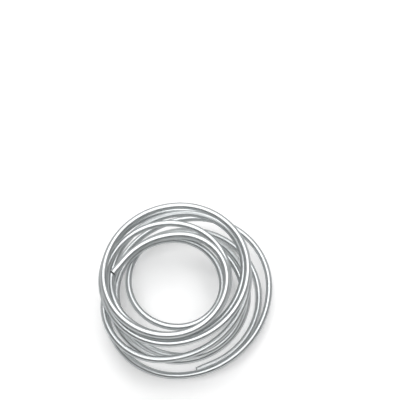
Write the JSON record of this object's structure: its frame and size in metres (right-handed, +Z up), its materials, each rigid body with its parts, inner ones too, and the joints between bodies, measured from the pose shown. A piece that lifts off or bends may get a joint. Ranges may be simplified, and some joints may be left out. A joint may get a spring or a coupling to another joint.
{
  "type": "aluminium fuel line coil",
  "caption": "Loose coil of bare drawn aluminium fuel line tube with both ends cut square, for running fuel or fluid in a vehicle.",
  "frame": {"origin": "on the floor, under the middle of the coil's outline seen from above", "axes": "+Z up, the way the turns climb; +X to the coil's right and +Y to its back, where the front is the side on which the lower cut end lies"},
  "size_m": [0.341, 0.3374, 0.1794],
  "materials": {
    "bare_aluminium": "bright drawn mill finish, satin with fine lengthwise draw lines"
  },
  "bodies": {
    "root": {"fuel_line_tube": "bare_aluminium"}
  },
  "joints": []
}
